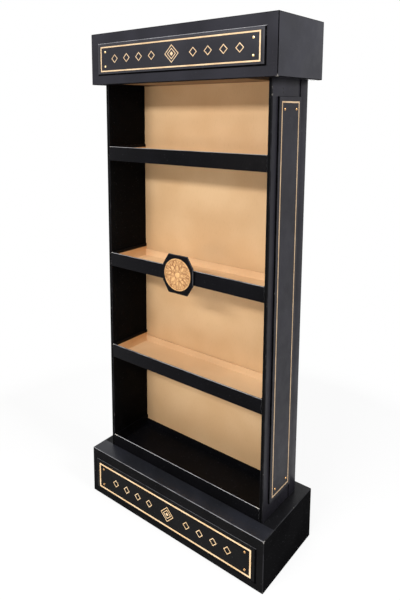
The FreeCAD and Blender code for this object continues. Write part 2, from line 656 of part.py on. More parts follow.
# The front half of an ellipsoid that stands on the disc's ground
def addBoss(disc, word, half_width, half_length, up):
    boss = disc.newObject("PartDesign::AdditiveEllipsoid", word)
    boss.Angle1 = 0
    boss.setExpression("Radius1", s.relief)
    boss.setExpression("Radius2", half_width)
    boss.setExpression("Radius3", half_length)
    boss.Placement.Rotation = FreeCAD.Rotation(alongX, 90)
    boss.setExpression("Placement.Base.y", f"-{s.disc_thick}")
    boss.setExpression("Placement.Base.z", up)
    return boss


# A ring of bosses; the first is above the centre
def addRelief(disc, word, ground, count, ring, half_width, half_length):
    boss = addBoss(disc, word, half_width, half_length, ring)
    doc.recompute()
    pattern = disc.newObject("PartDesign::PolarPattern", word + "_ring")
    pattern.Originals = [boss]
    pattern.Axis = (ground, ["N_Axis"])
    pattern.Angle = full_turn
    pattern.Occurrences = count
    disc.Tip = pattern
    doc.recompute()


makeBase()
makeHeader()
makeCeiling()
makeSidePlate(-1, "left")
makeSidePlate(1, "right")
makeBack()
for word, lip_top in shelves.items():
    makeTray("shelf_tray_" + word, f"({lip_top} - {s.lip_height})", s.lip_height, True)
makeTray("bottom_tray", s.base_height, s.bottom_lip_height, False)
makeMedallion()
doc.recompute()

for item in doc.Objects:
    if "Invalid" in item.State or "Error" in item.State:
        raise ValueError("the object failed: " + item.Name)
for node in nodes:
    if node.Shape.isNull() or not node.Shape.isValid():
        raise ValueError("the shape is not valid: " + node.Label)

os.makedirs("parts", exist_ok=True)
for node in nodes:
    node.Shape.exportStep("parts/" + node.Label + ".step")
print(len(nodes), "pieces written")
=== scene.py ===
import json
import math
import bmesh
import bpy
from mathutils import Matrix, Vector

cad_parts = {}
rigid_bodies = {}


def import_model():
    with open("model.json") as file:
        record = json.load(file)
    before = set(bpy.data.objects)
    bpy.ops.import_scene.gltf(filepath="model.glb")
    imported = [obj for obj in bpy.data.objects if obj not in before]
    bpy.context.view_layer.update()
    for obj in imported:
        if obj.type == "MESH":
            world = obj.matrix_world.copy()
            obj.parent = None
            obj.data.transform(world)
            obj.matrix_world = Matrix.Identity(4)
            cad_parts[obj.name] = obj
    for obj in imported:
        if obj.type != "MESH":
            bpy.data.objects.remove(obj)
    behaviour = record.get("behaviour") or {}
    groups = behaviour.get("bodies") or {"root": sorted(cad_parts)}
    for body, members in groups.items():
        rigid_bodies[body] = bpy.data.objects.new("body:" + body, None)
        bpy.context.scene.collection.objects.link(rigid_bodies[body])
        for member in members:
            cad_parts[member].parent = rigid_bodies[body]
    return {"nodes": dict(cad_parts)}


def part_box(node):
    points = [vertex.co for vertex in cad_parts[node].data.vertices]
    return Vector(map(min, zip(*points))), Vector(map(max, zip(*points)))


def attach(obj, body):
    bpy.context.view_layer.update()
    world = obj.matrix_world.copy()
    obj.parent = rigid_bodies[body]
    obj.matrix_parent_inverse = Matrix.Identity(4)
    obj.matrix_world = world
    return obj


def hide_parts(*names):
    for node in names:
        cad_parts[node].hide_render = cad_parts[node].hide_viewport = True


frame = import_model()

for item in list(bpy.data.objects):
    if item.name in ("Cube", "Light", "Camera"):
        bpy.data.objects.remove(item)
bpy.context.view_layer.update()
cad = frame["nodes"]
scene = bpy.context.scene
mm = 0.001
print("frame loaded,", len(cad), "nodes")


# sRGB hex to the linear colour that a shader wants
def inkColour(text):
    values = []
    for start in (1, 3, 5):
        value = int(text[start:start + 2], 16) / 255
        values.append(value / 12.92 if value <= 0.04045 else ((value + 0.055) / 1.055) ** 2.4)
    return (*values, 1.0)


# scale of a texture whose pattern is so many millimetres wide
def patternOf(size):
    return 1 / (size * mm)


# gives sockets of a node their values, by name or from the first on; a node, or one of its outputs,
# is linked
def setSockets(tree, node, sockets):
    pairs = sockets.items() if isinstance(sockets, dict) else enumerate(sockets)
    for word, value in pairs:
        if isinstance(value, bpy.types.Node):
            value = next(output for output in value.outputs if output.enabled)
        if isinstance(value, bpy.types.NodeSocket):
            tree.links.new(value, node.inputs[word])
        else:
            node.inputs[word].default_value = value


def addNode(tree, kind, sockets=(), **settings):
    node = tree.nodes.new(kind)
    for word, value in settings.items():
        setattr(node, word, value)
    setSockets(tree, node, sockets)
    return node


# a material, its tree, its shader and the place on the piece, which its patterns use
def newFinish(name, sockets):
    material = bpy.data.materials.new(name)
    material.use_nodes = True
    tree = material.node_tree
    tree.nodes.clear()
    shader = addNode(tree, "ShaderNodeBsdfPrincipled", sockets)
    addNode(tree, "ShaderNodeOutputMaterial", {"Surface": shader})
    return material, tree, shader, addNode(tree, "ShaderNodeTexCoord").outputs["Object"]


# patches so many millimetres wide, from start outside them to end inside, where a noise goes from
# low to high
def makePatches(tree, place, size, low, high, start=0.0, end=1.0, detail=2.0, roughness=0.5):
    noise = addNode(tree, "ShaderNodeTexNoise", {
        "Vector": place, "Scale": patternOf(size), "Detail": detail, "Roughness": roughness})
    return addNode(tree, "ShaderNodeMapRange", {
        "Value": noise, "From Min": low, "From Max": high, "To Min": start, "To Max": end},
        interpolation_type="SMOOTHSTEP")


# 1 round a point of the piece, fading to 0; point, radius and blur are in millimetres
def aroundPoint(tree, place, point, radius, blur):
    apart = addNode(tree, "ShaderNodeVectorMath", [place, Vector(point) * mm],
                    operation="DISTANCE")
    return addNode(tree, "ShaderNodeMapRange", {
        "Value": apart.outputs["Value"], "From Min": radius * mm, "From Max": blur * mm,
        "To Min": 1.0, "To Max": 0.0}, interpolation_type="SMOOTHSTEP")


# Flutes stand upright in every board, so their wave runs along X on fronts and along Y on sides
def fluteWave(tree, pitch):
    coordinates = addNode(tree, "ShaderNodeTexCoord").outputs
    spot = addNode(tree, "ShaderNodeSeparateXYZ", [coordinates["Object"]]).outputs
    normal = addNode(tree, "ShaderNodeSeparateXYZ", [coordinates["Normal"]]).outputs
    sideways = addNode(tree, "ShaderNodeMath", [normal["X"]], operation="ABSOLUTE")
    across = addNode(tree, "ShaderNodeMix", {0: sideways, 2: spot["X"], 3: spot["Y"]})
    turns = addNode(tree, "ShaderNodeMath", [across, 2 * math.pi * patternOf(pitch)],
                    operation="MULTIPLY")
    return addNode(tree, "ShaderNodeMath", [turns], operation="SINE")


# a ground colour with others printed over it, each through a mask from 0 to 1
def printInks(tree, ground, layers):
    tone = inkColour(ground)
    for mask, ink in layers:
        tone = addNode(tree, "ShaderNodeMix", {0: mask, 6: tone, 7: inkColour(ink)}, data_type="RGBA")
    return tone


flutePitch = 7.9             # C flute, crest to crest: it telegraphs through print and paper


# relief of a surface: a grain so many millimetres wide, lying on flutes where it is given a share of
# their height
def addRelief(tree, shader, place, size, depth, share=None, detail=1.0, roughness=0.5):
    height = addNode(tree, "ShaderNodeTexNoise", {
        "Vector": place, "Scale": patternOf(size), "Detail": detail, "Roughness": roughness})
    if share is not None:
        flutes = fluteWave(tree, flutePitch)
        height = addNode(tree, "ShaderNodeMath", [height, share, flutes], operation="MULTIPLY_ADD")
    bump = addNode(tree, "ShaderNodeBump", {"Height": height, "Distance": depth * mm})
    setSockets(tree, shader, {"Normal": bump})


filmPrint = {
    "cloudSize": 160,  # slow unevenness of ink and film
    "dustSize": 5,  # dust specks, drawn coarser than real ones so that they show
    "dustInk": "#5b5b60",
    "dustCover": 0.3,
    "sheenSize": 45,  # patches where the film shines a little more or less
    "grainSize": 1.6,  # film grain, drawn coarse
    "grainShare": 0.8,  # its height against that of a flute
    "fluteDepth": 0.012,
    # painted shade: a hole is black for the shade inside it
    "markRadius": 2.0,  # a pricked hole is black this far out, and gone at markBlur
    "markBlur": 4.0,
    "markInk": "#030303",
}


# Black offset print under matt film on corrugated board: near black, a broad soft sheen, faint
# upright washboard lines and a little dust; marks are holes pricked in it, painted black as the shade
# inside them
def filmBoard(name, ink, deepInk, gloss, roughness, marks=()):
    d = filmPrint
    material, tree, shader, place = newFinish(name, {"Specular IOR Level": gloss})
    layers = [
        (makePatches(tree, place, d["cloudSize"], 0.35, 0.65), ink),
        (makePatches(tree, place, d["dustSize"], 0.66, 0.74, 0.0, d["dustCover"], 3.0), d["dustInk"]),
        *((aroundPoint(tree, place, mark, d["markRadius"], d["markBlur"]), d["markInk"])
          for mark in marks),
    ]
    sheen = makePatches(tree, place, d["sheenSize"], 0.3, 0.7, roughness - 0.05, roughness + 0.06,
                        3.0)
    setSockets(tree, shader, {"Base Color": printInks(tree, deepInk, layers), "Roughness": sheen})
    addRelief(tree, shader, place, d["grainSize"], d["fluteDepth"], d["grainShare"])
    return material


foldWear = {
    "patchSize": 60,  # how far a rubbed stretch of a fold goes on
    "spotSize": 16,  # spots that are worn down to the paper
    "spotCover": 0.8,
    "cornerRadius": 4.0,  # a knocked corner is bare paper this far out, and whole at cornerBlur
    "cornerBlur": 9.0,
    "grainSize": 5,
    "grainDepth": 0.05,
    "roughness": 0.34,
}


# The same film where it is bent over a crease: stretched and rubbed into a broken grey line, with
# the pale paper showing at its most worn spots and at knocked corners; a light grey is partly a
# painted highlight of the light that the fold catches
def foldBoard(name, ink, rubbedInk, paperInk, rubbed, gloss=0.3, corners=()):
    d = foldWear
    material, tree, shader, place = newFinish(name, {"Specular IOR Level": gloss,
                                                     "Roughness": d["roughness"]})
    stretches = makePatches(tree, place, d["patchSize"], 0.5 - rubbed, 0.62 - rubbed * 0.4,
                            detail=4.0, roughness=0.6)
    bare = makePatches(tree, place, d["spotSize"], 0.63, 0.72, 0.0, d["spotCover"], 3.0, 0.7)
    for corner in corners:
        knocked = aroundPoint(tree, place, corner, d["cornerRadius"], d["cornerBlur"])
        bare = addNode(tree, "ShaderNodeMath", [bare, knocked], operation="MAXIMUM")
    tone = printInks(tree, ink, [(stretches, rubbedInk), (bare, paperInk)])
    setSockets(tree, shader, {"Base Color": tone})
    addRelief(tree, shader, place, d["grainSize"], d["grainDepth"], detail=2.0)
    return material


kraftPaper = {
    "cloudSize": 210,  # slow unevenness of the pulp
    "fibreSize": 2.4,  # width of a bundle of fibres, drawn coarse
    "fibreStretch": 0.12,  # the bundles stand upright, about eight times longer than wide
    "fibreCover": 0.1,
    "fibreShare": 0.5,  # their height against that of a flute
    "fleckSize": 4,
    "fleckCover": 0.22,
}


# Smooth kraft liner: warm gold-brown paper, long fine fibres along the machine direction, sparse
# darker flecks and hardly any gloss
def kraftBoard(name, ink, deepInk, fleckInk, fluteDepth):
    d = kraftPaper
    material, tree, shader, place = newFinish(name, {"Specular IOR Level": 0.25, "Roughness": 0.62})
    upright = addNode(tree, "ShaderNodeMapping", {
        "Vector": place, "Scale": (1.0, 1.0, d["fibreStretch"])})
    tone = printInks(tree, deepInk, [
        (makePatches(tree, place, d["cloudSize"], 0.3, 0.7), ink),
        (makePatches(tree, upright, d["fibreSize"], 0.52, 0.72, 0.0, d["fibreCover"], 3.0, 0.6),
         fleckInk),
        (makePatches(tree, place, d["fleckSize"], 0.7, 0.76, 0.0, d["fleckCover"]), fleckInk),
    ])
    setSockets(tree, shader, {"Base Color": tone})
    addRelief(tree, shader, upright, d["fibreSize"], fluteDepth, d["fibreShare"], 3.0, 0.6)
    return material


knifeCut = {"crushSize": 5, "crushStretch": 0.3, "depth": 0.1}


# Cut edge of a printed sheet: brown paper between two darker liners, crushed unevenly by the knife
def crushedEdge(name, ink, deepInk):
    d = knifeCut
    material, tree, shader, place = newFinish(name, {"Specular IOR Level": 0.2, "Roughness": 0.7})
    upright = addNode(tree, "ShaderNodeMapping", {
        "Vector": place, "Scale": (1.0, 1.0, d["crushStretch"])})
    crushed = makePatches(tree, upright, d["crushSize"], 0.42, 0.62, detail=3.0)
    bump = addNode(tree, "ShaderNodeBump", {"Height": crushed, "Distance": d["depth"] * mm})
    tone = printInks(tree, deepInk, [(crushed, ink)])
    setSockets(tree, shader, {"Base Color": tone, "Normal": bump})
    return material


foilPress = {
    "toneSize": 38, "sheenSize": 9, "roughness": (0.34, 0.46), "grainSize": 1.8, "grainDepth": 0.02}


# Hot-stamped foil: metal film with a fine pressed grain, so its shine is broad and pale gold. It is
# lacquered, and the less metallic it is set, the less of the dark room it mirrors
def stampedFoil(name, ink, paleInk, metal):
    d = foilPress
    material, tree, shader, place = newFinish(name, {"Metallic": metal})
    pale = makePatches(tree, place, d["toneSize"], 0.35, 0.65, detail=3.0)
    sheen = makePatches(tree, place, d["sheenSize"], 0.3, 0.7, *d["roughness"])
    setSockets(tree, shader, {
        "Base Color": printInks(tree, ink, [(pale, paleInk)]), "Roughness": sheen})
    addRelief(tree, shader, place, d["grainSize"], d["grainDepth"])
    return material


brassPolish = {"smearSize": 3, "roughness": (0.16, 0.3)}


# Polished brass nail heads: bright small highlights, slightly darker where fingers leave marks
def polishedBrass(name, ink, dullInk):
    d = brassPolish
    material, tree, shader, place = newFinish(name, {"Metallic": 1.0})
    smears = makePatches(tree, place, d["smearSize"], 0.4, 0.7, detail=3.0)
    sheen = makePatches(tree, place, d["smearSize"], 0.3, 0.7, *d["roughness"], detail=3.0)
    setSockets(tree, shader, {
        "Base Color": printInks(tree, ink, [(smears, dullInk)]), "Roughness": sheen})
    return material


mouldedBoard = {
    "reliefTop": -107.6,  # along Y: painted shade, brown from the relief's top down to its ground
    "reliefGround": -106.5,
    "recessShadeCover": 0.5,
    "patchSize": 22,
    "patchCover": 0.2,
    "crackSize": 26,  # a plate between cracks
    "crackCover": 0.7,
    "strayReach": 8.0,  # cracks stray by up to this much
    "straySize": 12,
    "grainSize": 2.5,
    "grainShare": 0.3,  # its height against the depth of a crack
    "crackDepth": 0.5,
}


# Gold-brown board pressed in a mould: satin print, cracked finely like old wood, with darker brown
# in the cracks, and darker brown in the low places as painted shade
def pressedGoldBoard(name, ink, deepInk):
    d = mouldedBoard
    material, tree, shader, place = newFinish(name, {"Metallic": 0.1, "Roughness": 0.45})
    depth = addNode(tree, "ShaderNodeSeparateXYZ", [place]).outputs["Y"]
    # painted shade: darker brown in the low places, by depth along Y
    low = addNode(tree, "ShaderNodeMapRange", {
        "Value": depth, "From Min": d["reliefTop"] * mm, "From Max": d["reliefGround"] * mm,
        "To Max": d["recessShadeCover"]}, interpolation_type="SMOOTHSTEP")
    patches = makePatches(tree, place, d["patchSize"], 0.45, 0.7, 0.0, d["patchCover"])
    waver = addNode(tree, "ShaderNodeTexNoise", {
        "Vector": place, "Scale": patternOf(d["straySize"]), "Detail": 3.0}).outputs["Color"]
    strayed = addNode(tree, "ShaderNodeVectorMath", [waver, [d["strayReach"] * mm] * 3, place],
                      operation="MULTIPLY_ADD")
    plates = addNode(tree, "ShaderNodeTexVoronoi", {"Vector": strayed,
                                                   "Scale": patternOf(d["crackSize"])},
                     feature="DISTANCE_TO_EDGE")
    cracks = addNode(tree, "ShaderNodeMapRange", {
        "Value": plates.outputs["Distance"], "From Min": 0.01, "From Max": 0.06,
        "To Min": d["crackCover"], "To Max": 0.0}, interpolation_type="SMOOTHSTEP")
    amount = low
    for more in (patches, cracks):
        amount = addNode(tree, "ShaderNodeMath", [amount, more], operation="ADD")
    amount = addNode(tree, "ShaderNodeMath", [amount, 1.0], operation="MINIMUM")
    grain = addNode(tree, "ShaderNodeTexNoise", {
        "Vector": place, "Scale": patternOf(d["grainSize"]), "Detail": 3.0})
    raised = addNode(tree, "ShaderNodeMath", [grain, d["grainShare"]], operation="MULTIPLY")
    height = addNode(tree, "ShaderNodeMath", [raised, cracks], operation="SUBTRACT")
    bump = addNode(tree, "ShaderNodeBump", {"Height": height, "Distance": d["crackDepth"] * mm})
    tone = printInks(tree, ink, [(amount, deepInk)])
    setSockets(tree, shader, {"Base Color": tone, "Normal": bump})
    return material


# Film: name, ink, deeper ink, gloss, roughness. The header and the body shine most; the plinth is
# matt, but its top in front of the body mirrors the room and is printed lighter, a painted light,
# and its top behind the body's front is printed darker, a painted shade of the body
headerFilm = filmBoard("satinFilmHeader", "#28282e", "#222227", 0.06, 0.42)
# the header's sides are printed lighter than its front: painted light, for the light that falls on
# them
headerLitSideFilm = filmBoard("satinFilmHeaderSidesPaintedLight", "#2d2d33", "#28282d", 0.1, 0.42)
bodyFilm = filmBoard("satinFilmBody", "#232228", "#1d1c21", 0.085, 0.38,
                     [(345, -32, 1574), (345, -31, 1563)])  # two pricked holes below the header
insideFilm = filmBoard("mattFilmInside", "#0b0b0c", "#080809", 0.02, 0.6)
# the plates' walls and their right and lower rims, painted black as their shade and cast shadow
paintedShadeEdge = filmBoard("boardEdgesPaintedShade", "#050506", "#040405", 0.01, 0.7)
plateFilm = filmBoard("satinFilmPlates", "#2a2a2f", "#242429", 0.08, 0.4)
# the plates' slopes are printed lighter than their faces: painted light where the bevels catch it
litSlopeFilm = filmBoard("satinFilmSlopesPaintedLight", "#313137", "#2b2b30", 0.12, 0.36)
trayFilm = filmBoard("satinFilmTrays", "#0d0d10", "#0a0a0c", 0.026, 0.34)
plinthFilm = filmBoard("mattFilmPlinth", "#181819", "#141415", 0.0, 0.5)
# the plinth's sides are printed darker than its front: painted shade
plinthShadedSideFilm = filmBoard("mattFilmPlinthSidesPaintedShade", "#121213", "#0e0e0f", 0.0, 0.5)
# the plinth's top in front of the body: painted light, lighter than the plinth's front
plinthLitTopFilm = filmBoard("filmPlinthTopPaintedLight", "#222329", "#1c1d21", 0.28, 0.36)
# the plinth's top behind the body's front: painted shade, the body's shadow
plinthShadedTopFilm = filmBoard("filmPlinthTopPaintedShade", "#161618", "#121214", 0.05, 0.4)
plinthPlateFilm = filmBoard("mattFilmPlinthPlate", "#161617", "#121213", 0.03, 0.45)

# Folds: name, ink, rubbed ink, paper ink, how much is rubbed, gloss, knocked corners. They go from
# hardly marked, on the header and the body, to rubbed grey, on the trays' rims and the plinth; the
# lighter greys on upward rims and lit sides are partly wear, partly painted highlight
darkCrease = foldBoard("creasedFilm", "#050506", "#0c0c0e", "#6f6c68", 0.0, 0.0,
                       [(380, -130.5, 1604), (-380, -130.5, 1604)])
plinthCrease = foldBoard("plinthCrease", "#161618", "#262629", "#8a8782", 0.05, 0.08,
                         [(388.5, -160.5, 183)])
# the plinth's front fold, where it leans upwards: wear, and a painted highlight
plinthFold = foldBoard("plinthFoldPaintedHighlight", "#4e4e53", "#7e7e81", "#a6a29b", 0.2, 0.2)
# the plinth plate's upper rim: wear, and a painted highlight
greyCreasePaintedHighlight = foldBoard("greyCreasePaintedHighlight", "#2e2e31", "#4b4b4e", "#77746f", 0.2, 0.1)
softFold = foldBoard("foldedFilm", "#111113", "#202023", "#66635f", 0.0, 0.05)
# the octagon's lit sides: wear, and a painted highlight
octagonHighlightFold = foldBoard("rubbedOctagonPaintedHighlight", "#38383c", "#515155", "#77746f", 0.2, 0.05)
# the trays' rims and the header plate's upper rim: wear, and a painted highlight where the folds
# catch the light; pale spots sit at the lips' left ends and the bottom tray's front corners
brightFold = foldBoard("rubbedFoldPaintedHighlight", "#77777c", "#b4b4b7", "#e2ddd4", 0.2, 0.3,
                       [(-331.7, -95.5, 977), (-331.7, -95.5, 610), (-331.7, -95.5, 1380),
                        (-324, -95.5, 230), (324, -95.5, 230)])

kraft = kraftBoard("smoothKraft", "#d9b68b", "#cfa97d", "#8f6238", 0.02)
# the trays' kraft is lighter than the back's: painted light of their floors
litTrayKraft = kraftBoard("litTrayKraft", "#e6c297", "#dab286", "#8f6238", 0.02)
# the ceiling's kraft is darker than the back's: painted shade under the header
shadedCeilingKraft = kraftBoard("kraftCeilingPaintedShade", "#7f6345", "#74593c", "#4a3520", 0.02)
brownBoard = kraftBoard("plainBrownBoard", "#b08a60", "#9c774f", "#6b4a2c", 0.05)
cutEdge = crushedEdge("crushedBoardEdge", "#8a6a48", "#2a211a")
# one foil, printed lighter on the plinth and darker on the sides: painted light and shade for each
# place
headerFoil = stampedFoil("stampedFoilHeader", "#c6a883", "#d4b995", 0.4)
plinthFoil = stampedFoil("stampedFoilPlinth", "#f0ca97", "#fadbb0", 0.35)
sideFoil = stampedFoil("stampedFoilSides", "#b89a76", "#cbae8b", 0.5)
brass = polishedBrass("polishedBrass", "#f8e0b0", "#d9b06e")
dullBrass = polishedBrass("dullBrass", "#cfa270", "#9a744a")      # darker, duller heads, on plinth and sides
goldBoard = pressedGoldBoard("pressedGoldBoard", "#d2a56e", "#85562b")
print("finishes made")


def showPiece(name, mesh, nodes):
    piece = bpy.data.objects.new(name, mesh)
    scene.collection.objects.link(piece)
    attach(piece, "root")
    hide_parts(*nodes)


def keepMesh(name, shape):
    mesh = bpy.data.meshes.new(name)
    shape.to_mesh(mesh)
    shape.free()
    return mesh


# smooth shading that stops at edges sharper than so many degrees
def shadeRound(shape, angle):
    for face in shape.faces:
        face.smooth = True
    for line in shape.edges:
        line.smooth = len(line.link_faces) == 2 and line.calc_face_angle(0.0) < math.radians(angle)


def isSharp(line, angle):
    return len(line.link_faces) == 2 and line.calc_face_angle(0.0) > math.radians(angle)


def breakEdges(shape, lines, width, material):
    bmesh.ops.bevel(shape, geom=lines, offset=width * mm, offset_type="OFFSET", segments=2,
                    profile=0.5, affect="EDGES", clamp_overlap=True, material=material)


boardEdges = {
    "weld": 0.002,  # points this close are one
    "flat": 0.4,  # faces that meet at less than this, in degrees, are one face
    "rubbable": 10,  # only edges sharper than this can be worn
    "sharp": 50,  # edges sharper than this and longer than shortest are broken
    "shortest": 6.0,
    "smooth": 32,  # the shading runs on over edges blunter than this
}


# A board is the CAD solid with its triangles joined to whole faces and its sharp edges broken. The
# function pick names each face's finish from its middle and normal; rubs lists edges that are worn
# wider than the rest: a test on the edge, a width and a finish; cuts lists planes, a point and a
# normal each, at which a finish ends within a face
def dressBoard(name, nodes, finishes, pick, edge, rubs=(), cuts=()):
    d = boardEdges
    shape = bmesh.new()
    for node in nodes:
        shape.from_mesh(cad[node].data)
    bmesh.ops.remove_doubles(shape, verts=shape.verts, dist=d["weld"] * mm)
    bmesh.ops.dissolve_limit(shape, angle_limit=math.radians(d["flat"]), verts=shape.verts,
                             edges=shape.edges)
    for point, normal in cuts:
        everything = [*shape.verts, *shape.edges, *shape.faces]
        bmesh.ops.bisect_plane(shape, geom=everything, plane_co=point, plane_no=normal)
    words = list(finishes)
    for face in shape.faces:
        face.material_index = words.index(pick(face.calc_center_median(), face.normal))
    for test, width, word in rubs:
        worn = [line for line in shape.edges if isSharp(line, d["rubbable"]) and test(line)]
        breakEdges(shape, worn, width, words.index(word))
    sharp = [line for line in shape.edges
             if isSharp(line, d["sharp"]) and line.calc_length() > d["shortest"] * mm]
    breakEdges(shape, sharp, edge, -1)
    shadeRound(shape, d["smooth"])
    mesh = keepMesh(name, shape)
    for finish in finishes.values():
        mesh.materials.append(finish)
    showPiece(name, mesh, nodes)


# A face leans when its normal lies along no axis, and it faces one when most of it does. What is
# within nearLimit millimetres of a plane lies on it
leanLimit = 0.985
faceLimit = 0.9
nearLimit = 0.3


def isSlanted(normal):
    return max(abs(part) for part in normal) < leanLimit


def near(value, wanted):
    return abs(value - wanted) < nearLimit * mm


def onBox(middle, low, high):
    return any(near(middle[axis], corner[axis]) for axis in range(3) for corner in (low, high))


def bothEnds(line, test):
    return all(test(end.co) for end in line.verts)


# Each printed sheet is glued shut behind the stand; its cut edge shows there as a brown line, from
# seamAt to the right
seamWidth = 3.0


def seamCuts(start):
    return [((side * mm, 0, 0), (1, 0, 0)) for side in (start, start + seamWidth)]


def isSeam(middle, rear, start):
    return near(middle.y, rear) and start * mm < middle.x < (start + seamWidth) * mm


headerBoard = {
    "edge": 0.6, "lipRub": 1.5, "seamAt": 338.0,
    "finishes": {"film": headerFilm, "side": headerLitSideFilm, "fold": darkCrease,
                 "inside": brownBoard, "seam": cutEdge},
}


def makeHeader(d):
    low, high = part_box("header_box")

    def pick(middle, normal):
        if isSlanted(normal):
            return "fold"
        if isSeam(middle, high.y, d["seamAt"]):
            return "seam"
        if not onBox(middle, low, high):
            return "inside"
        # the sides take the lighter film: painted light
        return "side" if abs(normal.x) > faceLimit else "film"

    def isFrontLip(line):
        return bothEnds(line, lambda end: near(end.y, low.y) and near(end.z, low.z))
    dressBoard("headerBox", ["header_box"], d["finishes"], pick, d["edge"],
               [(isFrontLip, d["lipRub"], "fold")], seamCuts(d["seamAt"]))


plinthBoard = {
    "edge": 0.6, "seamAt": 346.0,
    # the upward-leaning front fold is lighter: wear, and a painted highlight where it faces the light
    "frontFold": 3.0,  # only folds this near to the front are rubbed,
    "rubbedLean": (0.45, 0.97),  # and of them only what leans upwards this much
    "cutHeight": 1.0,  # faces lower than this are the cut ends of the walls
    "finishes": {"film": plinthFilm, "top": plinthLitTopFilm, "beside": plinthShadedTopFilm,
                 "side": plinthShadedSideFilm, "fold": plinthCrease, "rubbed": plinthFold,
                 "inside": brownBoard, "seam": cutEdge},
    "braces": ["base_brace_long", "base_brace_cross_left", "base_brace_cross_right"],
    "braceEdge": 0.3,
}


def makePlinth(d):
    low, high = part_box("base_box")
    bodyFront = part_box("side_panel_left")[0].y
    flattest, steepest = d["rubbedLean"]

    def pick(middle, normal):
        if isSlanted(normal):
            isFront = middle.y < low.y + d["frontFold"] * mm
            return "rubbed" if isFront and flattest < normal.z < steepest else "fold"
        if isSeam(middle, high.y, d["seamAt"]):
            return "seam"
        # in front of the body the top takes the painted light, behind its front the painted shade
        if near(middle.z, high.z):
            return "top" if middle.y < bodyFront else "beside"
        if not onBox(middle, low, high):
            return "inside"
        # the sides take the darker film: painted shade
        if abs(normal.x) > faceLimit:
            return "side"
        return "film" if middle.z > d["cutHeight"] * mm else "inside"
    dressBoard("plinthBox", ["base_box"], d["finishes"], pick, d["edge"],
               cuts=[*seamCuts(d["seamAt"]), ((0, bodyFront, 0), (0, 1, 0))])
    dressBoard("plinthBraces", d["braces"], {"board": brownBoard},
               lambda middle, normal: "board", d["braceEdge"])


bodyBoards = {
    "panelEdge": 0.5, "sheetEdge": 0.4, "seamAt": 296.0,
    # the ceiling's front strip is black like the header's underside; its ends are black as painted
    # shade of the corners
    "ceilingBorder": 75.0,  # the ceiling is black this far in from the kraft back's ends
    "finishes": {"film": bodyFilm, "inner": insideFilm, "fold": softFold, "inside": brownBoard,
                 "seam": cutEdge},
}


def makeBody(d):
    for side in ("left", "right"):
        low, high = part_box("side_panel_" + side)
        outer, inner = (low.x, high.x) if side == "left" else (high.x, low.x)

        def pick(middle, normal):
            if isSlanted(normal):
                return "fold"
            if near(middle.x, outer):
                return "film"
            return "inner" if near(middle.x, inner) or near(middle.y, low.y) else "inside"
        dressBoard("sidePanel_" + side, ["side_panel_" + side], d["finishes"], pick,
                   d["panelEdge"])
    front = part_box("side_panel_left")[0].y
    low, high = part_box("back_panel")

    def pickBack(middle, normal):
        if isSeam(middle, high.y, d["seamAt"]):
            return "seam"
        if isSlanted(normal):
            return "fold"
        if near(middle.y, high.y) or near(abs(middle.x), high.x):
            return "film"
        return "inner" if near(middle.y, low.y) else "inside"
    dressBoard("backPanel", ["back_panel"], d["finishes"], pickBack, d["sheetEdge"],
               cuts=seamCuts(d["seamAt"]))
    dressBoard("kraftBack", ["back_liner"], {"kraft": kraft},
               lambda middle, normal: "kraft", d["sheetEdge"])
    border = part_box("back_liner")[1].x - d["ceilingBorder"] * mm

    def pickCeiling(middle, normal):
        # front strip black as the header's underside, ends black as painted shade
        return "border" if middle.y < front or abs(middle.x) > border else "kraft"
    dressBoard("ceiling", ["ceiling_panel"],
               {"kraft": shadedCeilingKraft, "border": insideFilm}, pickCeiling, d["sheetEdge"],
               cuts=[((0, front, 0), (0, 1, 0)), ((-border, 0, 0), (1, 0, 0)),
                     ((border, 0, 0), (1, 0, 0))])


trayBoards = {
    "edge": 0.5, "cornerRub": 1.0,
    "turnover": 11.0,  # the film is turned over the rim of a tray by this much
    "outside": 331.0,  # what lies further from the middle is the outside of its sides
    # the upward-leaning part of a rim fold takes the lighter finish: wear and painted highlight
    "rimFold": 3.0,  # folds this near to the top,
    "rimLean": 0.5,  # and leaning upwards more than this, are rubbed
    "finishes": {"film": trayFilm, "fold": brightFold, "inside": litTrayKraft},
    "trays": [("shelf_tray_upper", "trayShelfUpper", "tray_board"),
              ("shelf_tray_middle", "trayShelfMiddle", "tray_board"),
              ("shelf_tray_lower", "trayShelfLower", "tray_board"),
              ("bottom_tray", "trayBottom", "black_board")],
}


def makeTrays(d):
    outside = d["outside"] * mm
    for node, name, slotName in d["trays"]:
        low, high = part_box(node)
        filmEnd = high.z - d["turnover"] * mm

        def pick(middle, normal):
            if isSlanted(normal):
                isRim = middle.z > high.z - d["rimFold"] * mm and normal.z > d["rimLean"]
                return "fold" if isRim else "film"
            isOuter = near(middle.y, low.y) or near(middle.z, low.z) or abs(middle.x) > outside
            return "film" if isOuter or middle.z > filmEnd or node == "bottom_tray" else "inside"

        def isCorner(line):
            return bothEnds(line, lambda end: near(end.y, low.y) and abs(end.x) > outside)
        dressBoard(name, [node], d["finishes"], pick, d["edge"],
                   [(isCorner, d["cornerRub"], "fold")], [((0, 0, filmEnd), (0, 0, 1))])


signBoards = {
    "edge": 0.4, "rimRub": 1.2,
    "rimDepth": 2.0,  # the upper rim lies this far in front of the wall
    # painted shade: the right and lower rims are black as the plate's shadow
    "shadedRim": 5.0,  # the right and lower rims are black this far in
    "signs": [
        ("header_sign_plate", "headerPlate",
         {"film": plateFilm, "slope": litSlopeFilm, "rubbed": brightFold, "edge": paintedShadeEdge}),
        ("base_sign_plate", "plinthPlate",
         {"film": plinthPlateFilm, "slope": plinthPlateFilm, "rubbed": greyCreasePaintedHighlight, "edge": paintedShadeEdge}),
    ],
}


